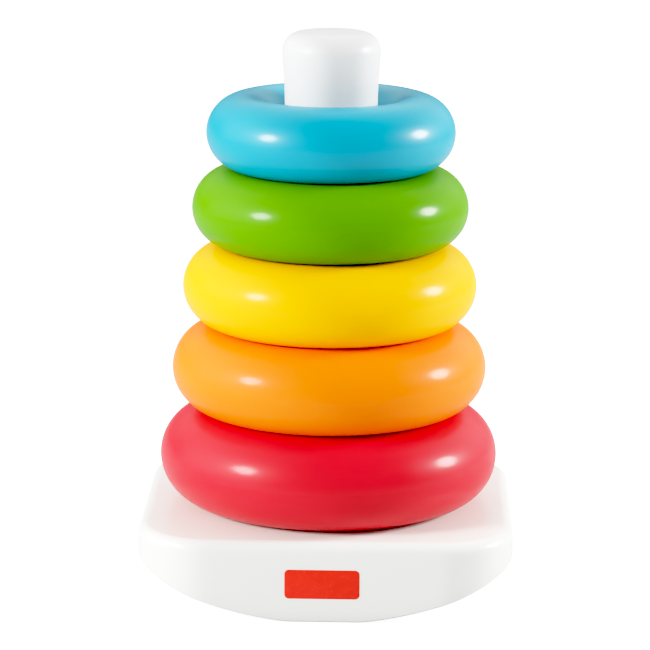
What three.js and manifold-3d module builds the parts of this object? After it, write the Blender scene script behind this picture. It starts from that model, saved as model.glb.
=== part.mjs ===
// A ring stacker for babies: five hollow rings of falling size on a tapered post that stands on a rocker base.
// Millimetres, +Z up. The origin is the middle of the flat the base stands on, and the post's axis is +Z.
// The base's printed front faces -Y, and it rocks left and right, about the Y axis.

import * as THREE from "three";
import { mergeVertices } from "three/addons/utils/BufferGeometryUtils.js";
import Module from "manifold-3d";

const wasm = await Module();
wasm.setup();

// Driving dimensions.
const CLEARANCE = 0.2; // between pieces that are fixed to each other
const REST_GAP = 0.1; // between a ring and what it rests on
const MARGIN = 1; // how far a cutting block reaches past the face that it cuts through
const SPARE = 10; // how far the base's uncut blanks stand past the finished shape

const BASE = {
  width: 133,
  depth: 124,
  height: 28.7, // floor to deck
  cornerRadius: 25.4, // seen from above
  edgeRadius: 3.8, // round the deck's edge
  wall: 2.6,
  rim: 1.3, // what is left of the wall beside the sole
};
const ROCKER = {
  flat: 13.5, // half the width of the flat that it stands on
  radius: 140, // of the curved runners on both sides of the flat
  lift: 0.12, // slope of a runner where it leaves the flat
  overrun: 4, // how far the cutting curve runs on past the base's sides
};
const SOLE_THICKNESS = 2.2;
const BOSS = { inner: 23.6, outer: 25.6 }; // tube inside the base, round the post's socket

const POST = {
  height: 199.3, // floor to the top of the knob
  wall: 2,
  flangeRadius: 29,
  flangeEdge: 0.8,
  coneBottom: { radius: 26.3, z: 33.6 },
  neck: { radius: 16.5, z: 170 },
  knob: { radius: 17.5, z: 192.4 },
  flare: { atNeck: 14, atKnob: 5 }, // lengths of the curve's tangents between neck and knob
  crown: { radius: 11, drop: 0.35 }, // the nearly flat top inside the knob's round shoulder
};
const SPIGOT = {
  radius: 19.7,
  wall: 2,
  depth: 9.6, // below the deck's top face
  hookReach: 1.8,
  hookHeight: 5,
  hookLip: 1, // height of a hook's upright edge, above its slope
  hookRoot: 0.5, // how far a hook reaches into the spigot's wall
  hookWidth: 9,
  slotWidth: 13,
};

// From the bottom ring up: outer radius, and radius of the round tube that the ring is.
const RINGS = [
  { name: "red_ring", outer: 61.1, tube: 16.75, colour: 0xd9142f },
  { name: "orange_ring", outer: 56.7, tube: 15.45, colour: 0xff8a0a },
  { name: "yellow_ring", outer: 52.9, tube: 14.55, colour: 0xfac400 },
  { name: "green_ring", outer: 49.6, tube: 13.95, colour: 0x57a800 },
  { name: "blue_ring", outer: 44.55, tube: 13.4, colour: 0x05aed0 },
];
const RING_WALL = 1.3;
const VENT_RADIUS = 0.9; // the hole that the blowing needle leaves, in the face towards the post

const LABEL = {
  width: 26.2,
  height: 10.5,
  cornerRadius: 1.6,
  thickness: 0.4,
  recess: 0.7,
  x: -0.5, // the print sits a little to the left of the middle
  z: 13.9, // of its middle
};

// Facets of the curved stretches.
const RING_SEGMENTS = 40;
const TUBE_SIDES = 16;
const ROUND_SEGMENTS = 32;
const CORNER_SEGMENTS = 8;
const EDGE_SEGMENTS = 4;
const ROCKER_SEGMENTS = 14;
const FLARE_SEGMENTS = 6;
const LABEL_SEGMENTS = 5;
const VENT_SEGMENTS = 8;

// Booleans: a closed geometry becomes a manifold-3d solid, and a solid becomes a geometry again.
function solid(geometry) {
  const bare = geometry.clone();
  bare.deleteAttribute("normal");
  bare.deleteAttribute("uv");
  const merged = mergeVertices(bare, 1e-3);
  return new wasm.Manifold(
    new wasm.Mesh({
      numProp: 3,
      vertProperties: merged.attributes.position.array,
      triVerts: new Uint32Array(merged.index.array),
    }),
  );
}

function geometryOf(body) {
  const mesh = body.getMesh();
  const geometry = new THREE.BufferGeometry();
  geometry.setAttribute("position", new THREE.BufferAttribute(mesh.vertProperties, 3));
  geometry.setIndex(new THREE.BufferAttribute(mesh.triVerts, 1));
  geometry.computeVertexNormals();
  return geometry;
}

function part(name, body, colour, roughness) {
  const material = new THREE.MeshStandardMaterial({ color: colour, roughness, metalness: 0 });
  const mesh = new THREE.Mesh(geometryOf(body), material);
  mesh.name = name;
  return mesh;
}

// A rounded rectangle about the origin.
function roundedRectangle(width, height, radius) {
  const x = width / 2;
  const y = height / 2;
  const quarter = Math.PI / 2;
  const shape = new THREE.Shape();
  shape.moveTo(-x + radius, -y);
  shape.lineTo(x - radius, -y);
  shape.absarc(x - radius, -y + radius, radius, -quarter, 0);
  shape.lineTo(x, y - radius);
  shape.absarc(x - radius, y - radius, radius, 0, quarter);
  shape.lineTo(-x + radius, y);
  shape.absarc(-x + radius, y - radius, radius, quarter, 2 * quarter);
  shape.lineTo(-x, -y + radius);
  shape.absarc(-x + radius, -y + radius, radius, 2 * quarter, 3 * quarter);
  return shape;
}

// A solid of revolution about Z, from points of radius and height.
function turned(points, segments = ROUND_SEGMENTS) {
  const profile = points.map(([radius, z]) => new THREE.Vector2(radius, z));
  return solid(new THREE.LatheGeometry(profile, segments).rotateX(Math.PI / 2));
}

function tube(inner, outer, bottom, top) {
  return turned([
    [inner, bottom],
    [outer, bottom],
    [outer, top],
    [inner, top],
    [inner, bottom],
  ]);
}

function box(width, depth, bottom, top) {
  const geometry = new THREE.BoxGeometry(width, depth, top - bottom);
  return solid(geometry.translate(0, 0, (bottom + top) / 2));
}

// The base's outline in plan, inset, from z = bottom up to top.
function planBlock(inset, bottom, top) {
  const shape = roundedRectangle(
    BASE.width - 2 * inset,
    BASE.depth - 2 * inset,
    BASE.cornerRadius - inset,
  );
  const options = { depth: top - bottom, bevelEnabled: false, curveSegments: CORNER_SEGMENTS };
  return solid(new THREE.ExtrudeGeometry(shape, options).translate(0, 0, bottom));
}

// The same outline with the deck's rounded edge, standing well below the floor so that the rocker can be cut.
function roundedBlock(bottom) {
  const round = BASE.edgeRadius;
  const options = {
    depth: BASE.height - bottom - 2 * round,
    bevelEnabled: true,
    bevelThickness: round,
    bevelSize: round,
    bevelOffset: -round,
    bevelSegments: EDGE_SEGMENTS,
    curveSegments: CORNER_SEGMENTS,
  };
  const shape = roundedRectangle(BASE.width, BASE.depth, BASE.cornerRadius);
  return solid(new THREE.ExtrudeGeometry(shape, options).translate(0, 0, bottom + round));
}

// Everything above the rocker's underside, offset inwards: a flat, and a curved runner on each side of it.
function aboveRocker(offset) {
  const start = Math.atan(ROCKER.lift);
  const centreX = ROCKER.flat - ROCKER.radius * Math.sin(start);
  const centreZ = ROCKER.radius * Math.cos(start);
  const radius = ROCKER.radius - offset;
  const from = Math.acos((centreZ - offset) / radius);
  const to = Math.asin((BASE.width / 2 + ROCKER.overrun - centreX) / radius);
  const quarter = Math.PI / 2;
  const shape = new THREE.Shape();
  shape.absarc(centreX, centreZ, radius, from - quarter, to - quarter);
  shape.lineTo(BASE.width, BASE.height + SPARE);
  shape.lineTo(-BASE.width, BASE.height + SPARE);
  shape.absarc(-centreX, centreZ, radius, -quarter - to, -quarter - from);
  const length = BASE.depth + 2 * SPARE;
  const options = { depth: length, bevelEnabled: false, curveSegments: ROCKER_SEGMENTS };
  const geometry = new THREE.ExtrudeGeometry(shape, options);
  return solid(geometry.rotateX(Math.PI / 2).translate(0, length / 2, 0));
}

// The moulded top of the base: deck, walls, the boss under the deck, and the seats for the post, sole and label.
function baseShell() {
  const ceiling = BASE.height - BASE.wall;
  const seat = aboveRocker(SOLE_THICKNESS + CLEARANCE);
  const soleSpace = planBlock(BASE.rim, -SPARE, ceiling).subtract(seat);
  const labelSpace = labelPlate(CLEARANCE, LABEL.recess, LABEL.recess + MARGIN);
  const boss = tube(BOSS.inner, BOSS.outer, SOLE_THICKNESS + 2 * CLEARANCE, ceiling + MARGIN);
  return roundedBlock(-SPARE)
    .subtract(planBlock(BASE.wall, -SPARE - MARGIN, ceiling))
    .add(boss)
    .intersect(aboveRocker(0))
    .subtract(soleSpace)
    .subtract(tube(0, SPIGOT.radius + CLEARANCE, ceiling - MARGIN, BASE.height + MARGIN))
    .subtract(labelSpace);
}

// The curved plate that closes the base from below and carries it.
function rockerSole() {
  return planBlock(BASE.rim + CLEARANCE, -SPARE, BASE.height - BASE.wall - MARGIN)
    .intersect(aboveRocker(0))
    .subtract(aboveRocker(SOLE_THICKNESS));
}

// The points of a quarter of an ellipse, from its widest point to its top.
function quarterEllipse(centreRadius, centreZ, radius, height, count) {
  return Array.from({ length: count + 1 }, (_, i) => {
    const angle = (i / count) * (Math.PI / 2);
    return [centreRadius + radius * Math.cos(angle), centreZ + height * Math.sin(angle)];
  });
}

// The post's outside from the neck to the top, inset by a wall.
function knobProfile(inset) {
  const { neck, knob, flare, crown } = POST;
  const side = new THREE.CubicBezierCurve(
    new THREE.Vector2(neck.radius - inset, neck.z),
    new THREE.Vector2(neck.radius - inset, neck.z + flare.atNeck),
    new THREE.Vector2(knob.radius - inset, knob.z - flare.atKnob),
    new THREE.Vector2(knob.radius - inset, knob.z),
  );
  const crownZ = POST.height - crown.drop - inset;
  const shoulder = quarterEllipse(
    crown.radius - inset / 2,
    knob.z,
    knob.radius - crown.radius - inset / 2,
    crownZ - knob.z,
    FLARE_SEGMENTS,
  );
  return [...side.getPoints(FLARE_SEGMENTS).map((p) => [p.x, p.y]), ...shoulder.slice(1), [0, POST.height - inset]];
}

// The tapered post: a hollow moulding open at its foot, with a slotted spigot that snaps into the deck.
function post() {
  const { coneBottom, wall } = POST;
  const seat = BASE.height + REST_GAP;
  const spigotBottom = BASE.height - SPIGOT.depth;
  const bore = SPIGOT.radius - SPIGOT.wall;
  const flangeTop = seat + POST.flangeEdge;
  const fillet = quarterEllipse(
    POST.flangeRadius,
    coneBottom.z,
    POST.flangeRadius - coneBottom.radius,
    coneBottom.z - flangeTop,
    EDGE_SEGMENTS,
  ).map(([radius, z]) => [2 * POST.flangeRadius - radius, 2 * coneBottom.z - z]);
  const inside = [
    ...knobProfile(wall).reverse(),
    [coneBottom.radius - wall, coneBottom.z],
    [coneBottom.radius - wall, seat + wall],
    [bore, seat + wall],
  ];
  const outside = [
    [bore, spigotBottom],
    [SPIGOT.radius, spigotBottom],
    [SPIGOT.radius, seat],
    [POST.flangeRadius, seat],
    ...fillet.reverse(),
    ...knobProfile(0),
  ];
  const hookTop = BASE.height - BASE.wall - CLEARANCE;
  const hookRoot = SPIGOT.radius - SPIGOT.hookRoot;
  const hookRing = turned([
    [hookRoot, hookTop - SPIGOT.hookHeight],
    [SPIGOT.radius, hookTop - SPIGOT.hookHeight],
    [SPIGOT.radius + SPIGOT.hookReach, hookTop - SPIGOT.hookLip],
    [SPIGOT.radius + SPIGOT.hookReach, hookTop],
    [hookRoot, hookTop],
    [hookRoot, hookTop - SPIGOT.hookHeight],
  ]);
  const hookLength = 3 * SPIGOT.radius;
  const hookArm = box(hookLength, SPIGOT.hookWidth, 0, BASE.height);
  const hookCross = hookArm.add(hookArm.rotate([0, 0, 90]));
  const slot = box(hookLength, SPIGOT.slotWidth, 0, hookTop);
  return turned([...inside, ...outside])
    .subtract(slot.rotate([0, 0, 45]))
    .subtract(slot.rotate([0, 0, -45]))
    .add(hookRing.intersect(hookCross));
}

// A ring bent from a round tube, with a corner of the tube's polygon at its highest and lowest points.
function torus(centreRadius, tubeRadius, sides, segments) {
  const points = Array.from({ length: sides + 1 }, (_, i) => {
    const angle = ((i % sides) / sides) * 2 * Math.PI;
    return [centreRadius + tubeRadius * Math.cos(angle), tubeRadius * Math.sin(angle)];
  });
  return turned(points, segments);
}

function hollowRing({ outer, tube: tubeRadius }) {
  const centreRadius = outer - tubeRadius;
  const hole = outer - 2 * tubeRadius;
  const vent = solid(new THREE.CylinderGeometry(VENT_RADIUS, VENT_RADIUS, 3 * RING_WALL, VENT_SEGMENTS));
  return torus(centreRadius, tubeRadius, TUBE_SIDES, RING_SEGMENTS)
    .subtract(torus(centreRadius, tubeRadius - RING_WALL, TUBE_SIDES / 2, RING_SEGMENTS / 2))
    .subtract(vent.translate([0, hole + RING_WALL, 0]));
}

// A plate in the label's outline, grown on all sides, whose back stands at a depth inside the base's front face.
function labelPlate(growth, depth, thickness) {
  const shape = roundedRectangle(
    LABEL.width + 2 * growth,
    LABEL.height + 2 * growth,
    LABEL.cornerRadius + growth,
  );
  const options = { depth: thickness, bevelEnabled: false, curveSegments: LABEL_SEGMENTS };
  const geometry = new THREE.ExtrudeGeometry(shape, options);
  return solid(geometry.rotateX(Math.PI / 2).translate(LABEL.x, depth - BASE.depth / 2, LABEL.z));
}

const WHITE = 0xf2f2f0;
const LABEL_RED = 0xe8311a;
const toy = new THREE.Group();

toy.add(part("base_shell", baseShell(), WHITE, 0.4));
toy.add(part("rocker_sole", rockerSole(), WHITE, 0.45));
toy.add(part("post", post(), WHITE, 0.35));
toy.add(part("front_label", labelPlate(0, LABEL.recess - CLEARANCE, LABEL.thickness), LABEL_RED, 0.5));

// The rings rest on the deck and on each other. Two round tubes touch where their centres are a tube apart.
let below = null;
let z = BASE.height + REST_GAP;
for (const ring of RINGS) {
  if (below) {
    const sideways = ring.outer - ring.tube - (below.outer - below.tube);
    z += Math.sqrt((ring.tube + below.tube) ** 2 - sideways ** 2) + REST_GAP;
  } else {
    z += ring.tube;
  }
  const mesh = part(ring.name, hollowRing(ring), ring.colour, 0.4);
  mesh.position.z = z;
  toy.add(mesh);
  below = ring;
}

export default toy;
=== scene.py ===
import math

import bmesh
import bpy
from mathutils import Matrix, Vector, noise


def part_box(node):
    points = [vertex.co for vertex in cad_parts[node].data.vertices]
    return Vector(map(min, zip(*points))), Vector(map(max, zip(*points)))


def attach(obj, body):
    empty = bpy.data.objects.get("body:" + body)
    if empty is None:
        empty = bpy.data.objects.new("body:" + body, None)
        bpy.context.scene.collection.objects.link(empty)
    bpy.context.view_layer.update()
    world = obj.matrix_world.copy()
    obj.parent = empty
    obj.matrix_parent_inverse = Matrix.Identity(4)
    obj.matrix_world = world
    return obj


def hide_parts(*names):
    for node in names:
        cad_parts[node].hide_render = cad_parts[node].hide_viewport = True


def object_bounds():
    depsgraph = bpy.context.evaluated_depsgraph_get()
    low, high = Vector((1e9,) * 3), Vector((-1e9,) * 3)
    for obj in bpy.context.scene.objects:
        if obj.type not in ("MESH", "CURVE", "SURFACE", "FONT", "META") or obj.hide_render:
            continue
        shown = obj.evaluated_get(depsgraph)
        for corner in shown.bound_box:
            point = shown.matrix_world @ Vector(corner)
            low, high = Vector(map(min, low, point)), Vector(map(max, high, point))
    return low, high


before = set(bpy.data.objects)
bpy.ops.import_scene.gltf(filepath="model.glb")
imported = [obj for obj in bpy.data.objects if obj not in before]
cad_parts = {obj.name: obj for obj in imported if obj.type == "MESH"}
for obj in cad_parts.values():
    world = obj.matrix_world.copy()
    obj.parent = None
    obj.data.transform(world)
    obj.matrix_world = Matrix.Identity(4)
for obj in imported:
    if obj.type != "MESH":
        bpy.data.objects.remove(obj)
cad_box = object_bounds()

# Lengths are in metres. Angles are in degrees where a name or comment says so, and in radians elsewhere.

# What the CAD model's boxes don't say about the base.
BASE_CORNER = 0.0254  # radius of the corners seen from above
BASE_EDGE = 0.0038  # radius of the rolled edge round the deck
BASE_LOWER_EDGE = 0.0009
BASE_WALL = 0.0026
RIM = 0.0013  # width of the rim that the sole plate lies inside
RIM_CHAMFER = (0.0001, 0.0002)  # width, height
LEDGE_WALL = 0.001  # least height of the inside wall above the ledge over the sole plate
CEILING_CHAMFER = 0.002
HOLE_DIRECTIONS = 0.02  # inset of the outline whose points say which way the hole's points lie
HOLE_CHAMFER = (1.015, 0.0003)  # how many times wider the hole is at the deck, and the depth of that
SEAM = 0.0002
SOLE_THICKNESS = 0.0022
SOLE_CHAMFER = 0.0003
ROCKER_FLAT = 0.0135  # half the width of the flat that the toy stands on
ROCKER_RADIUS = 0.140
ROCKER_LIFT = 0.12  # slope of a runner where it leaves the flat
ROCKER_BLEND = 0.0003  # height over which the flat turns into a runner

# The post. CONE_FOOT, NECK and KNOB are each a radius and a height, and CROWN a radius and its rise over the
# knob's shoulder.
REST_GAP = 0.0001  # between the flange and the deck
SOCKET_RADIUS = 0.01985
SPIGOT_GAP = 0.00015
POST_WALL = 0.002
FLANGE_EDGE = 0.0008
FLANGE_CHAMFER = (0.0002, 0.0003)  # below, above
CONE_FOOT = (0.0263, 0.0336)
ROOT_START = 265.0  # the angle in degrees at which the curve from the flange up to the cone starts
NECK = (0.0165, 0.170)
FLARE_TANGENTS = (0.014, 0.005)  # at the neck, at the knob
KNOB = (0.0175, 0.1924)
KNOB_INSIDE_CHAMFER = 0.003
SHOULDER_END = 86.0  # the angle in degrees at which the knob's round shoulder ends
CROWN = (0.0110, 0.00035)

# The label.
LABEL_CORNER = 0.0016
PRINT_EDGE = 0.0001  # radius of the ink's edge, and how far the ink stands proud of the base

# The rings' surface.
RING_SKIN = 0.00004  # how far the surface lies inside the CAD model's, which leaves room for the waviness
WAVINESS = 0.00006
WAVES = 40.0  # per metre
SEED_STEP = 3.7  # from one ring's waves to the next one's
MOULD_LINE = (0.00045, 0.000025)  # half width, height
MOULD_LINE_ROWS = (-0.0008, -0.0004, 0.0004, 0.0008)  # extra rows of vertices beside a mould line
VENT_RADIUS = 0.0012
VENT_DEPTH = 0.0016
VENT_RIM = (0.0017, 0.0004, 0.00008)  # radius, half width, height
VENT_REFINED = (0.0045, 0.003)  # distances from the vent inside which the mesh is halved, one after the other

# The plastics' marks. A scale is in noise cells per metre, and a depth in metres.
CLOUD_SCALE = 28.0
STREAK_SCALE = 9.0
STREAK_STRETCH = (1.0, 1.0, 5.0)  # which lays the streaks level
SPECK_SCALE = 2600.0
SPECK_SHADE = 0.72
SPECK_WEIGHT = 0.16
HAIRLINES = ((0.5, 520.0), (-0.85, 430.0), (1.35, 610.0))  # a direction's turn, and its scale
HAIRLINE_STRETCH = (1.0, 0.035, 1.0)
HAIRLINE_DEPTH = 0.00002
HAIRLINE_ROUGHNESS = 0.12  # added to the plastic's own
SMEAR_SCALE = 55.0
SMEAR_ROUGHNESS = (-0.035, 0.05)  # least and most, added to the plastic's own
GRAIN_SCALE = 1500.0
GRAIN_DEPTH = 0.00001
RIPPLE_SCALE = 210.0
RIPPLE_DEPTH = 0.00006
PLASTIC_IOR = 1.5
COAT_ROUGHNESS = 0.17
SCATTER_DEPTH = 0.004
WHITE_SCATTER = (1.0, 0.95, 0.9)
RING_ROUGHNESS = 0.42

# The label's ink.
COVERAGE_SCALE = 420.0
PINHOLE_SCALE = 3400.0
PINHOLE_COLOUR = (0.9, 0.6, 0.55)
PINHOLE_WEIGHT = 0.35
INK_PATCH_SCALE = 260.0
INK_ROUGHNESS = (0.42, 0.54)  # least and most
INK_GRAIN_SCALE = 1900.0

# How fine the meshes are.
RING_AROUND = 168
RING_ROWS = 60
DECK_STEPS = 5
ROLLED_EDGE_STEPS = 10
WALL_STEPS = 8
LOWER_EDGE_STEPS = 5
SOLE_STEPS = 24
SOLE_INSIDE_SKIP = 3
POST_AROUND = 144
ROOT_STEPS = 8
CONE_STEPS = 30
FLARE_STEPS = 14
SHOULDER_STEPS = 16
CROWN_STEPS = 6

# The camera: azimuth, elevation and roll in degrees, how far it stands from its aim, and its lens in
# millimetres.
VIEW_ANGLES = (1.363, 12.702, 0.450)
VIEW_DISTANCE = 1.1434
VIEW_AIM = (-0.0016, 0.0, 0.0925)
VIEW_LENS = 175.2

# How the picture responds: the radiance that prints black, the one that prints paper white, how soon it
# rolls off, and the places between black and white where the curve has a point.
BLACK = 0.02
PAPER_WHITE = 1.6
ROLL_OFF = 2.0
CURVE_PLACES = (0.06, 0.13, 0.22, 0.34, 0.5, 0.72)

# The room: a pale floor that glows for the camera only, so that it prints white, and soft lobes of light
# round the toy.
FLOOR_SIZE = 14.0
FLOOR_TINTS = ((0.54, 0.54, 0.54), (0.56, 0.56, 0.56))
FLOOR_GLOW = (1.3, 1.3, 1.3, 1.0)
PAPER_MARGIN = 0.1  # how far the paper behind the toy is over white
LOBE_HALF_ANGLE = 50.07  # degrees
ROOM_LIGHT = (  # azimuth and elevation in degrees, radiance
    (-80, 5, 2.2),  # the left
    (-90, 45, 0.85),  # high on the left
    (-150, 45, 0.95),  # high behind, to the left
    (150, 45, 1.25),  # high behind, to the right
    (120, 5, 0.78),  # behind, to the right
    (0, 5, 0.32),  # the front
)

# The two softboxes: azimuth and elevation in degrees, diameter, radiance.
SOFTBOX_DISTANCE = 1.1
SOFTBOXES = {
    "key_left": (-59, 21, 0.30, 54),
    "key_right": (93, 19.5, 0.32, 60),
}


# ---------------------------------------------------------------- meshes

def finish_mesh(name, mesh, sharp_degrees):
    """A smooth-shaded object whose edges sharper than the angle stay crisp."""
    bm = bmesh.new()
    bm.from_mesh(mesh)
    bmesh.ops.remove_doubles(bm, verts=bm.verts, dist=1e-7)
    bmesh.ops.recalc_face_normals(bm, faces=bm.faces)
    for face in bm.faces:
        face.smooth = True
    limit = math.radians(sharp_degrees)
    for edge in bm.edges:
        if len(edge.link_faces) == 2 and edge.calc_face_angle(0) > limit:
            edge.smooth = False
    bm.to_mesh(mesh)
    bm.free()
    obj = bpy.data.objects.new(name, mesh)
    bpy.context.scene.collection.objects.link(obj)
    return obj


def mesh_object(name, vertices, faces, sharp_degrees):
    mesh = bpy.data.meshes.new(name)
    mesh.from_pydata(vertices, [], faces)
    return finish_mesh(name, mesh, sharp_degrees)


def skin(loops, closed=False):
    """Vertices and quads through loops of equal length, each loop joined to the next."""
    count = len(loops[0])
    vertices = [point for loop in loops for point in loop]
    faces = []
    pairs = len(loops) if closed else len(loops) - 1
    for i in range(pairs):
        a, b = i * count, ((i + 1) % len(loops)) * count
        for j in range(count):
            k = (j + 1) % count
            faces.append((a + j, a + k, b + k, b + j))
    return vertices, faces


def capped(loops):
    """A skin whose first and last loops are closed with one face each."""
    vertices, faces = skin(loops)
    count = len(loops[0])
    last = (len(loops) - 1) * count
    faces.append(tuple(range(count)))
    faces.append(tuple(last + i for i in range(count)))
    return vertices, faces


def mixed(first, second, t):
    """The loop that lies at the fraction t of the way from one loop to another."""
    return [tuple(a * (1 - t) + b * t for a, b in zip(p, q)) for p, q in zip(first, second)]


def turned(name, profile, segments, sharp_degrees):
    """A surface of revolution about Z from (radius, z) points that start and end on the axis."""
    on_axis = 1e-9
    loops = []
    for radius, z in profile:
        radius = max(radius, on_axis)
        loops.append([
            (radius * math.cos(2 * math.pi * i / segments), radius * math.sin(2 * math.pi * i / segments), z)
            for i in range(segments)
        ])
    vertices, faces = skin(loops)
    return mesh_object(name, vertices, faces, sharp_degrees)


def arc(centre, radii, start_degrees, end_degrees, steps):
    """Points on an ellipse's arc in the (radius, z) plane."""
    points = []
    for i in range(steps + 1):
        a = math.radians(start_degrees + (end_degrees - start_degrees) * i / steps)
        points.append((centre[0] + radii[0] * math.cos(a), centre[1] + radii[1] * math.sin(a)))
    return points


def bezier(p0, p1, p2, p3, steps):
    points = []
    for i in range(steps + 1):
        t = i / steps
        s = 1 - t
        points.append(tuple(
            s ** 3 * a + 3 * s * s * t * b + 3 * s * t * t * c + t ** 3 * d
            for a, b, c, d in zip(p0, p1, p2, p3)
        ))
    return points


def outline(half_x, half_y, corner, inset, straight_x=44, straight_y=30, corner_steps=14):
    """Points round a rounded rectangle, from the left end of its lower side on, counterclockwise."""
    radius = corner - inset
    cx, cy = half_x - corner, half_y - corner
    points = []

    def line(x0, y0, x1, y1, steps):
        for i in range(steps):
            t = i / steps
            points.append((x0 + (x1 - x0) * t, y0 + (y1 - y0) * t))

    def bend(x, y, start):
        for i in range(corner_steps):
            a = start + math.pi / 2 * i / corner_steps
            points.append((x + radius * math.cos(a), y + radius * math.sin(a)))

    line(-cx, -cy - radius, cx, -cy - radius, straight_x)
    bend(cx, -cy, -math.pi / 2)
    line(cx + radius, -cy, cx + radius, cy, straight_y)
    bend(cx, cy, 0)
    line(cx, cy + radius, -cx, cy + radius, straight_x)
    bend(-cx, cy, math.pi / 2)
    line(-cx - radius, cy, -cx - radius, -cy, straight_y)
    bend(-cx, -cy, math.pi)
    return points


def circle_like(points, radius):
    """A circle with a point in the same direction as each of the given ones."""
    result = []
    for x, y in points:
        length = math.hypot(x, y)
        result.append((x / length * radius, y / length * radius))
    return result


# ---------------------------------------------------------------- materials

class Nodes:
    """A material's node tree with short ways to add to it. A noise's scale is in cells per metre."""

    def __init__(self, name):
        self.material = bpy.data.materials.new(name)
        self.material.use_nodes = True
        self.tree = self.material.node_tree
        self.shader = self.tree.nodes["Principled BSDF"]
        self.place = self.add("ShaderNodeTexCoord").outputs["Object"]

    def add(self, kind, **values):
        node = self.tree.nodes.new(kind)
        for key, value in values.items():
            setattr(node, key, value)
        return node

    def link(self, a, b):
        self.tree.links.new(a, b)

    def set(self, **values):
        """Numbers for the shader's own sockets, each named in small letters with _ for a space."""
        sockets = {socket.name.lower().replace(" ", "_"): socket for socket in self.shader.inputs}
        for key, value in values.items():
            sockets[key].default_value = value

    def noise(self, scale, detail, roughness=0.5):
        return self.noise_at(self.place, scale, detail, roughness)

    def stretched_noise(self, scale, detail, stretch, turn=(0.0, 0.0, 0.0)):
        mapping = self.add("ShaderNodeMapping")
        mapping.inputs["Scale"].default_value = stretch
        mapping.inputs["Rotation"].default_value = turn
        self.link(self.place, mapping.inputs["Vector"])
        return self.noise_at(mapping.outputs["Vector"], scale, detail, 0.5)

    def noise_at(self, place, scale, detail, roughness):
        node = self.add("ShaderNodeTexNoise")
        node.inputs["Scale"].default_value = scale
        node.inputs["Detail"].default_value = detail
        node.inputs["Roughness"].default_value = roughness
        self.link(place, node.inputs["Vector"])
        return node.outputs["Fac"]

    def spread(self, value, low, high, to_low=0.0, to_high=1.0):
        node = self.add("ShaderNodeMapRange", clamp=True)
        for key, number in zip(("From Min", "From Max", "To Min", "To Max"), (low, high, to_low, to_high)):
            node.inputs[key].default_value = number
        self.link(value, node.inputs["Value"])
        return node.outputs["Result"]

    def math(self, operation, a, b):
        node = self.add("ShaderNodeMath", operation=operation)
        for socket, value in zip(node.inputs, (a, b)):
            if isinstance(value, (int, float)):
                socket.default_value = value
            else:
                self.link(value, socket)
        return node.outputs["Value"]

    def mix(self, factor, a, b):
        node = self.add("ShaderNodeMix", data_type="RGBA")
        self.link(factor, node.inputs["Factor"])
        for key, value in (("A", a), ("B", b)):
            socket = next(s for s in node.inputs if s.name == key and s.type == "RGBA")
            if isinstance(value, tuple):
                socket.default_value = (*value, 1.0)
            else:
                self.link(value, socket)
        return next(s for s in node.outputs if s.type == "RGBA")

    def bump(self, height, strength, distance, onto=None):
        node = self.add("ShaderNodeBump")
        node.inputs["Strength"].default_value = strength
        node.inputs["Distance"].default_value = distance
        self.link(height, node.inputs["Height"])
        if onto is not None:
            self.link(onto, node.inputs["Normal"])
        return node.outputs["Normal"]


def shade(colour, factor):
    return tuple(min(1.0, c * factor) for c in colour)


def pigment(n, colour, mottle):
    """Slow clouds, faint level streaks, and sparse darker specks."""
    cloud = n.spread(n.noise(CLOUD_SCALE, detail=3.0), 0.32, 0.68)
    clouded = n.mix(cloud, shade(colour, 1 - mottle), shade(colour, 1 + mottle))
    streak = n.spread(n.stretched_noise(STREAK_SCALE, detail=2.0, stretch=STREAK_STRETCH), 0.35, 0.65)
    streaked = n.mix(n.math("MULTIPLY", streak, 0.5), clouded, shade(colour, 1 - 0.6 * mottle))
    speck = n.spread(n.noise(SPECK_SCALE, detail=0.0), 0.74, 0.80, 0.0, SPECK_WEIGHT)
    return n.mix(speck, streaked, shade(colour, SPECK_SHADE))


def hairlines(n):
    """Fine scratches in three directions, each only in some patches: 1 in a scratch and 0 beside it."""
    scratches = []
    for turn, scale in HAIRLINES:
        turned_by = (turn, 0.2 * turn, 1.7 * turn)
        hair = n.stretched_noise(scale, detail=1.0, stretch=HAIRLINE_STRETCH, turn=turned_by)
        patch = n.spread(n.noise(34.0 + 10 * turn, detail=1.0), 0.5, 0.62)
        scratches.append(n.math("MULTIPLY", n.spread(hair, 0.71, 0.76), patch))
    return n.math("MAXIMUM", n.math("MAXIMUM", scratches[0], scratches[1]), scratches[2])


def moulded_plastic(name, colour, roughness, coat, gloss, scatter, scatter_radius, mottle):
    """Smooth moulded plastic: faintly uneven pigment, a fine satin grain, and hairline handling marks."""
    n = Nodes(name)
    n.link(pigment(n, colour, mottle), n.shader.inputs["Base Color"])

    hairline = hairlines(n)
    smear = n.spread(n.noise(SMEAR_SCALE, detail=4.0, roughness=0.6), 0.35, 0.7, *SMEAR_ROUGHNESS)
    scratched = n.math("MULTIPLY", hairline, HAIRLINE_ROUGHNESS)
    uneven = n.math("ADD", n.math("ADD", smear, roughness), scratched)
    n.link(uneven, n.shader.inputs["Roughness"])

    grain = n.bump(n.noise(GRAIN_SCALE, detail=2.0), 0.35, GRAIN_DEPTH)
    ripple = n.bump(n.noise(RIPPLE_SCALE, detail=1.0), 0.25, RIPPLE_DEPTH, onto=grain)
    marked = n.bump(hairline, -0.35, HAIRLINE_DEPTH, onto=ripple)
    n.link(marked, n.shader.inputs["Normal"])

    n.set(ior=PLASTIC_IOR, specular_ior_level=gloss)
    n.set(coat_weight=coat, coat_roughness=COAT_ROUGHNESS, coat_ior=PLASTIC_IOR)
    n.set(subsurface_weight=scatter, subsurface_radius=scatter_radius, subsurface_scale=SCATTER_DEPTH)
    return n.material


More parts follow.
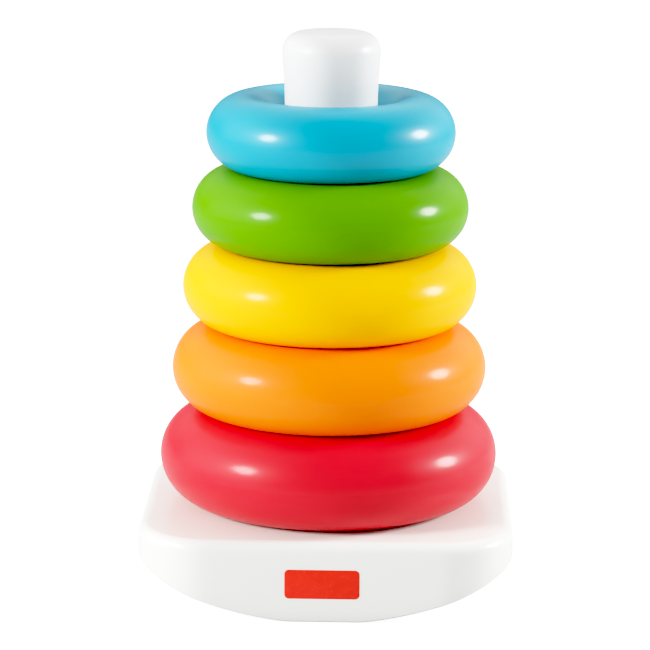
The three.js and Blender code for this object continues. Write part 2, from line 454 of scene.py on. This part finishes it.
def white_plastic(name, colour, roughness, coat, gloss):
    return moulded_plastic(
        name, colour, roughness, coat, gloss, scatter=0.12, scatter_radius=WHITE_SCATTER, mottle=0.012)


def ring_plastic(name, colour, coat, gloss):
    bleed = tuple(0.3 + 0.7 * c for c in colour)
    return moulded_plastic(
        name, colour, RING_ROUGHNESS, coat, gloss, scatter=0.10, scatter_radius=bleed, mottle=0.035)


def printed_ink(name, colour):
    """Pad-printed ink: flat, faintly mottled, with pinholes where the white shows through."""
    n = Nodes(name)
    coverage = n.spread(n.noise(COVERAGE_SCALE, detail=3.0), 0.3, 0.7)
    ink = n.mix(coverage, shade(colour, 0.93), shade(colour, 1.05))
    pinholes = n.spread(n.noise(PINHOLE_SCALE, detail=0.0), 0.78, 0.82, 0.0, PINHOLE_WEIGHT)
    ink = n.mix(pinholes, ink, PINHOLE_COLOUR)
    n.link(ink, n.shader.inputs["Base Color"])
    patches = n.spread(n.noise(INK_PATCH_SCALE, detail=2.0), 0.3, 0.7, *INK_ROUGHNESS)
    n.link(patches, n.shader.inputs["Roughness"])
    grain = n.bump(n.noise(INK_GRAIN_SCALE, detail=2.0), 0.3, GRAIN_DEPTH)
    n.link(grain, n.shader.inputs["Normal"])
    n.set(specular_ior_level=0.35)
    return n.material


WHITE = white_plastic("white_moulding", (0.82, 0.835, 0.79), roughness=0.36, coat=0.25, gloss=0.4)
POST_WHITE = white_plastic("post_moulding", (0.67, 0.67, 0.665), roughness=0.40, coat=0.06, gloss=0.3)
LABEL_RED = (0.80, 0.017, 0.006)
# Each ring's pigment, and the weights of its clear coat and of the gloss under it.
RINGS = {
    "red": ((0.61, 0.016, 0.025), 0.17, 0.1),
    "orange": ((1.0, 0.169, 0.013), 0.15, 0.06),
    "yellow": ((1.0, 0.412, 0.010), 0.15, 0.03),
    "green": ((0.083, 0.263, 0.004), 0.19, 0.03),
    "blue": ((0.004, 0.268, 0.41), 0.23, 0.2),
}


# ---------------------------------------------------------------- rings

def torus(centre, tube, middle):
    """A ring's plain round tube, with closer rows of vertices along the mould lines outside and inside."""
    rows = [2 * math.pi * i / RING_ROWS for i in range(RING_ROWS)]
    for side in (0.0, math.pi):
        rows += [side + offset / tube for offset in MOULD_LINE_ROWS]
    rows.sort()
    bm = bmesh.new()
    loops = []
    for i in range(RING_AROUND):
        a = 2 * math.pi * i / RING_AROUND
        loops.append([
            bm.verts.new((
                (centre + tube * math.cos(b)) * math.cos(a),
                (centre + tube * math.cos(b)) * math.sin(a),
                middle + tube * math.sin(b),
            ))
            for b in rows
        ])
    for i in range(RING_AROUND):
        for j in range(len(rows)):
            k, m = (i + 1) % RING_AROUND, (j + 1) % len(rows)
            bm.faces.new((loops[i][j], loops[k][j], loops[k][m], loops[i][m]))
    return bm


def relief(place, centre, middle, seed):
    """How far the surface stands out at a place: waves, the mould line, and the vent with its rim."""
    x, y, z = place
    wave = WAVINESS * noise.noise(Vector((x, y, z)) * WAVES + Vector((seed, 0, 0)))
    line = MOULD_LINE[1] * math.exp(-((z - middle) / MOULD_LINE[0]) ** 2)
    dent = 0.0
    if y > 0 and math.hypot(x, y) < centre:
        from_vent = math.hypot(x, z - middle)
        dent = -VENT_DEPTH * max(0.0, 1 - (from_vent / VENT_RADIUS) ** 4)
        line += VENT_RIM[2] * math.exp(-((from_vent - VENT_RIM[0]) / VENT_RIM[1]) ** 2)
    return wave + line + dent


def ring(colour_name, seed):
    """A blow-moulded ring: a round tube with faint waviness, a trimmed mould line and a needle vent."""
    node = colour_name + "_ring"
    low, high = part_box(node)
    tube = (high.z - low.z) / 2
    centre = (high.x - low.x) / 2 - tube
    middle = (high.z + low.z) / 2
    bm = torus(centre, tube, middle)

    # The vent is on the side towards the post, so only there the mesh is made fine.
    vent = Vector((0.0, centre - tube, middle))
    for reach in VENT_REFINED:
        edges = [e for e in bm.edges if all((v.co - vent).length < reach for v in e.verts)]
        bmesh.ops.subdivide_edges(bm, edges=edges, cuts=1, use_grid_fill=True)

    for v in bm.verts:
        x, y, z = v.co
        radius = math.hypot(x, y)
        core = Vector((x / radius * centre, y / radius * centre, middle))
        out = (v.co - core).normalized()
        v.co = core + out * (tube - RING_SKIN + relief((x, y, z), centre, middle, seed))

    mesh = bpy.data.meshes.new(node + "_moulding")
    bm.to_mesh(mesh)
    bm.free()
    obj = finish_mesh(node + "_moulding", mesh, sharp_degrees=60)
    obj.data.materials.append(ring_plastic(colour_name + "_moulding", *RINGS[colour_name]))
    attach(obj, colour_name)
    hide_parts(node)


for index, colour_name in enumerate(RINGS):
    ring(colour_name, SEED_STEP * index)


# ---------------------------------------------------------------- base

base_low, base_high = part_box("base_shell")
HALF_X, HALF_Y = (base_high.x - base_low.x) / 2, (base_high.y - base_low.y) / 2
DECK = base_high.z


def underside(x):
    """Height of the rocker's underside: a flat, and a round runner on each side joined by a short curve."""
    start = math.atan(ROCKER_LIFT)
    centre_x = ROCKER_FLAT - ROCKER_RADIUS * math.sin(start)
    centre_z = ROCKER_RADIUS * math.cos(start)
    runner = centre_z - math.sqrt(ROCKER_RADIUS ** 2 - (abs(x) - centre_x) ** 2)
    if abs(runner) > ROCKER_BLEND:
        return max(runner, 0.0)
    return (runner + ROCKER_BLEND) ** 2 / (4 * ROCKER_BLEND)


def level(points, height):
    """A loop at one height."""
    return [(x, y, height) for x, y in points]


def above_underside(points, height):
    """A loop that follows the rocker, at a height above its underside."""
    return [(x, y, underside(x) + height) for x, y in points]


def base_outline(inset):
    return outline(HALF_X, HALF_Y, BASE_CORNER, inset)


def base_shell():
    hole = circle_like(base_outline(HOLE_DIRECTIONS), SOCKET_RADIUS)
    widening, chamfer = HOLE_CHAMFER
    hole_edge = level([(x * widening, y * widening) for x, y in hole], DECK)
    deck_edge = level(base_outline(BASE_EDGE), DECK)
    outer = base_outline(0.0)

    # Deck, from the hole outwards, then its rolled edge.
    loops = [level(hole, DECK - chamfer), hole_edge]
    loops += [mixed(hole_edge, deck_edge, i / DECK_STEPS) for i in range(1, DECK_STEPS)]
    for i in range(ROLLED_EDGE_STEPS + 1):
        a = math.pi / 2 * i / ROLLED_EDGE_STEPS
        rolled = base_outline(BASE_EDGE * (1 - math.sin(a)))
        loops.append(level(rolled, DECK - BASE_EDGE * (1 - math.cos(a))))

    # Walls down to the lower edge, which follows the rocker.
    wall_top = level(outer, DECK - BASE_EDGE)
    wall_bottom = above_underside(outer, BASE_LOWER_EDGE)
    loops += [mixed(wall_top, wall_bottom, i / WALL_STEPS) for i in range(1, WALL_STEPS + 1)]
    for i in range(1, LOWER_EDGE_STEPS + 1):
        a = math.pi / 2 * i / LOWER_EDGE_STEPS
        rounded = base_outline(BASE_LOWER_EDGE * (1 - math.cos(a)))
        loops.append(above_underside(rounded, BASE_LOWER_EDGE * (1 - math.sin(a))))

    # The rim beside the sole, the ledge over it, and the inside.
    ledge = SOLE_THICKNESS + SEAM
    ceiling = DECK - BASE_WALL
    rim, wall = base_outline(RIM), base_outline(BASE_WALL)
    loops.append(above_underside(base_outline(RIM - RIM_CHAMFER[0]), 0.0))
    loops.append(above_underside(rim, RIM_CHAMFER[1]))
    loops.append(above_underside(rim, ledge))
    loops.append(above_underside(wall, ledge))
    loops.append([
        (x, y, max(underside(x) + ledge + LEDGE_WALL, ceiling - CEILING_CHAMFER)) for x, y in wall
    ])
    loops.append(level(base_outline(BASE_WALL + CEILING_CHAMFER), ceiling))
    loops.append(level(hole, ceiling))

    vertices, faces = skin(loops, closed=True)
    obj = mesh_object("base_top_moulding", vertices, faces, sharp_degrees=40)
    obj.data.materials.append(WHITE)
    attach(obj, "base")
    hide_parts("base_shell")


def rocker_sole():
    gap = RIM + SEAM
    rim = base_outline(gap)
    edge = base_outline(gap + SOLE_CHAMFER)
    plates = [[(x * i / SOLE_STEPS, y * i / SOLE_STEPS) for x, y in edge] for i in range(1, SOLE_STEPS + 1)]
    loops = [above_underside(plate, 0.0) for plate in plates]
    loops.append(above_underside(rim, SOLE_CHAMFER))
    loops.append(above_underside(rim, SOLE_THICKNESS))
    loops += [above_underside(plate, SOLE_THICKNESS) for plate in reversed(plates[::SOLE_INSIDE_SKIP])]
    vertices, faces = capped(loops)
    obj = mesh_object("sole_plate", vertices, faces, sharp_degrees=40)
    obj.data.materials.append(WHITE)
    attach(obj, "base")
    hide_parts("rocker_sole")


base_shell()
rocker_sole()


# ---------------------------------------------------------------- post

def post_outside(bottom, flange, top):
    """The post's outer profile, from the spigot's lower end up to the axis at the crown."""
    seat = DECK + REST_GAP
    spigot = SOCKET_RADIUS - SPIGOT_GAP
    flange_top = seat + FLANGE_EDGE
    below, above = FLANGE_CHAMFER
    profile = [(spigot, bottom), (spigot, seat), (flange - below, seat), (flange, seat + below)]
    profile += [(flange, flange_top - above), (flange - above, flange_top)]
    root = (flange - CONE_FOOT[0], CONE_FOOT[1] - flange_top)
    profile += arc((flange, CONE_FOOT[1]), root, ROOT_START, 180, ROOT_STEPS)
    profile += [mixed([CONE_FOOT], [NECK], i / CONE_STEPS)[0] for i in range(1, CONE_STEPS)]

    at_neck, at_knob = FLARE_TANGENTS
    profile += bezier(NECK, (NECK[0], NECK[1] + at_neck), (KNOB[0], KNOB[1] - at_knob), KNOB, FLARE_STEPS)
    crown_radius, crown_height = CROWN
    shoulder_top = top - crown_height
    shoulder = (KNOB[0] - crown_radius, shoulder_top - KNOB[1])
    profile += arc((crown_radius, KNOB[1]), shoulder, 0, SHOULDER_END, SHOULDER_STEPS)[1:]
    for i in range(1, CROWN_STEPS + 1):
        t = i / CROWN_STEPS
        profile.append((crown_radius * (1 - t), shoulder_top + crown_height * math.sin(math.pi / 2 * t)))
    return profile


def post_inside(bottom, top):
    """The post's inner profile, from the axis under the crown down to the spigot's lower end."""
    seat = DECK + REST_GAP
    spigot = SOCKET_RADIUS - SPIGOT_GAP
    shoulder = (KNOB[0] - POST_WALL - KNOB_INSIDE_CHAMFER, top - CROWN[1] - POST_WALL)
    return [
        (0.0, top - POST_WALL),
        shoulder,
        (KNOB[0] - POST_WALL, KNOB[1]),
        (NECK[0] - POST_WALL, NECK[1]),
        (CONE_FOOT[0] - POST_WALL, CONE_FOOT[1]),
        (CONE_FOOT[0] - POST_WALL, seat + POST_WALL),
        (spigot - POST_WALL, seat + POST_WALL),
        (spigot - POST_WALL, bottom),
    ]


def post():
    low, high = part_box("post")
    flange = (high.x - low.x) / 2
    profile = post_inside(low.z, high.z) + post_outside(low.z, flange, high.z)
    obj = turned("post_moulding", profile, POST_AROUND, sharp_degrees=35)
    obj.data.materials.append(POST_WHITE)
    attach(obj, "base")
    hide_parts("post")


post()


# ---------------------------------------------------------------- label

def label():
    low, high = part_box("front_label")
    half_x, half_z = (high.x - low.x) / 2, (high.z - low.z) / 2
    middle_x, middle_z = (high.x + low.x) / 2, (high.z + low.z) / 2
    face = -HALF_Y - PRINT_EDGE
    loops = []
    # How far in from the label's outline and how far behind its face, counted in PRINT_EDGE.
    for inset, depth in ((0.0, 4.0), (0.0, 0.6), (0.3, 0.2), (1.0, 0.0)):
        points = outline(
            half_x, half_z, LABEL_CORNER, inset * PRINT_EDGE, straight_x=8, straight_y=4, corner_steps=8)
        loops.append([(middle_x + x, face + depth * PRINT_EDGE, middle_z + z) for x, z in points])
    vertices, faces = capped(loops)
    obj = mesh_object("label_print", vertices, faces, sharp_degrees=50)
    obj.data.materials.append(printed_ink("label_ink", LABEL_RED))
    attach(obj, "base")
    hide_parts("front_label")


label()


# ---------------------------------------------------------------- floor, light and camera

def direction(azimuth, elevation):
    """The unit vector towards an azimuth and elevation in degrees. Azimuth 0 is the front, 90 the right."""
    a, e = math.radians(azimuth), math.radians(elevation)
    return Vector((math.sin(a) * math.cos(e), -math.cos(a) * math.cos(e), math.sin(e)))


def floor():
    bpy.ops.mesh.primitive_grid_add(x_subdivisions=4, y_subdivisions=4, size=FLOOR_SIZE)
    obj = bpy.context.object
    obj.name = "studio_floor"
    n = Nodes("studio_floor")
    paper = n.mix(n.spread(n.noise(6.0, detail=3.0), 0.3, 0.7), *FLOOR_TINTS)
    n.link(paper, n.shader.inputs["Base Color"])
    n.link(n.add("ShaderNodeLightPath").outputs["Is Camera Ray"], n.shader.inputs["Emission Strength"])
    n.set(emission_color=FLOOR_GLOW, roughness=0.9, specular_ior_level=0.1)
    obj.data.materials.append(n.material)


def studio():
    """Soft light from the room's lobes, and plain white paper where the camera looks past the toy."""
    world = bpy.data.worlds.new("studio")
    bpy.context.scene.world = world
    world.use_nodes = True
    tree = world.node_tree
    nodes, links = tree.nodes, tree.links
    nodes.clear()
    outwards = nodes.new("ShaderNodeTexCoord").outputs["Generated"]

    def lobe(azimuth, elevation, radiance):
        dot = nodes.new("ShaderNodeVectorMath")
        dot.operation = "DOT_PRODUCT"
        dot.inputs[1].default_value = direction(azimuth, elevation)
        links.new(outwards, dot.inputs[0])
        ramp = nodes.new("ShaderNodeMapRange")
        ramp.interpolation_type = "SMOOTHSTEP"
        ramp.inputs["From Min"].default_value = math.cos(math.radians(LOBE_HALF_ANGLE))
        ramp.inputs["To Max"].default_value = radiance
        links.new(dot.outputs["Value"], ramp.inputs["Value"])
        return ramp.outputs["Result"]

    lobes = [lobe(*row) for row in ROOM_LIGHT]
    total = lobes[0]
    for another in lobes[1:]:
        add = nodes.new("ShaderNodeMath")
        add.operation = "ADD"
        links.new(total, add.inputs[0])
        links.new(another, add.inputs[1])
        total = add.outputs["Value"]

    light = nodes.new("ShaderNodeBackground")
    links.new(total, light.inputs["Strength"])
    paper = nodes.new("ShaderNodeBackground")
    paper.inputs["Color"].default_value = (1.0, 1.0, 1.0, 1.0)
    paper.inputs["Strength"].default_value = PAPER_WHITE + PAPER_MARGIN
    mix = nodes.new("ShaderNodeMixShader")
    links.new(nodes.new("ShaderNodeLightPath").outputs["Is Camera Ray"], mix.inputs["Fac"])
    links.new(light.outputs["Background"], mix.inputs[1])
    links.new(paper.outputs["Background"], mix.inputs[2])
    output = nodes.new("ShaderNodeOutputWorld")
    links.new(mix.outputs["Shader"], output.inputs["Surface"])


def softbox(name, azimuth, elevation, size, radiance, target):
    """A round lamp that faces the target. The camera doesn't see it."""
    away = direction(azimuth, elevation)
    data = bpy.data.lights.new(name, "AREA")
    data.shape = "DISK"
    data.size = size
    data.energy = radiance * math.pi * (math.pi * size * size / 4)
    obj = bpy.data.objects.new(name, data)
    obj.location = target + away * SOFTBOX_DISTANCE
    obj.rotation_mode = "QUATERNION"
    obj.rotation_quaternion = (-away).to_track_quat("-Z", "Y")
    obj.visible_camera = False
    bpy.context.scene.collection.objects.link(obj)


def camera():
    data = bpy.data.cameras.new("camera")
    data.sensor_width = 36.0
    data.lens = VIEW_LENS
    data.clip_start, data.clip_end = 0.05, 50.0
    obj = bpy.data.objects.new("camera", data)
    azimuth, elevation, roll = (math.radians(angle) for angle in VIEW_ANGLES)
    around = Matrix.Rotation(azimuth, 3, "Z")
    up = Matrix.Rotation(math.pi / 2 - elevation, 3, "X")
    turn = around @ up @ Matrix.Rotation(roll, 3, "Z")
    place = Vector(VIEW_AIM) + turn @ Vector((0, 0, VIEW_DISTANCE))
    obj.matrix_world = Matrix.Translation(place) @ turn.to_4x4()
    bpy.context.scene.collection.objects.link(obj)
    bpy.context.scene.camera = obj


def grade():
    """A photographic response: a little black clipped, and highlights rolled off towards paper white."""
    settings = bpy.context.scene.view_settings
    settings.view_transform = "Standard"
    settings.use_curve_mapping = True
    curve = settings.curve_mapping
    curve.black_level = (BLACK, BLACK, BLACK)
    curve.white_level = (PAPER_WHITE, PAPER_WHITE, PAPER_WHITE)
    fall = ROLL_OFF * (PAPER_WHITE - BLACK)
    for t in CURVE_PLACES:
        curve.curves[3].points.new(t, (1 - math.exp(-fall * t)) / (1 - math.exp(-fall)))
    curve.update()


floor()
studio()
toy_middle = (cad_box[0] + cad_box[1]) / 2
for name, (azimuth, elevation, size, radiance) in SOFTBOXES.items():
    softbox(name, azimuth, elevation, size, radiance, toy_middle)
camera()
grade()
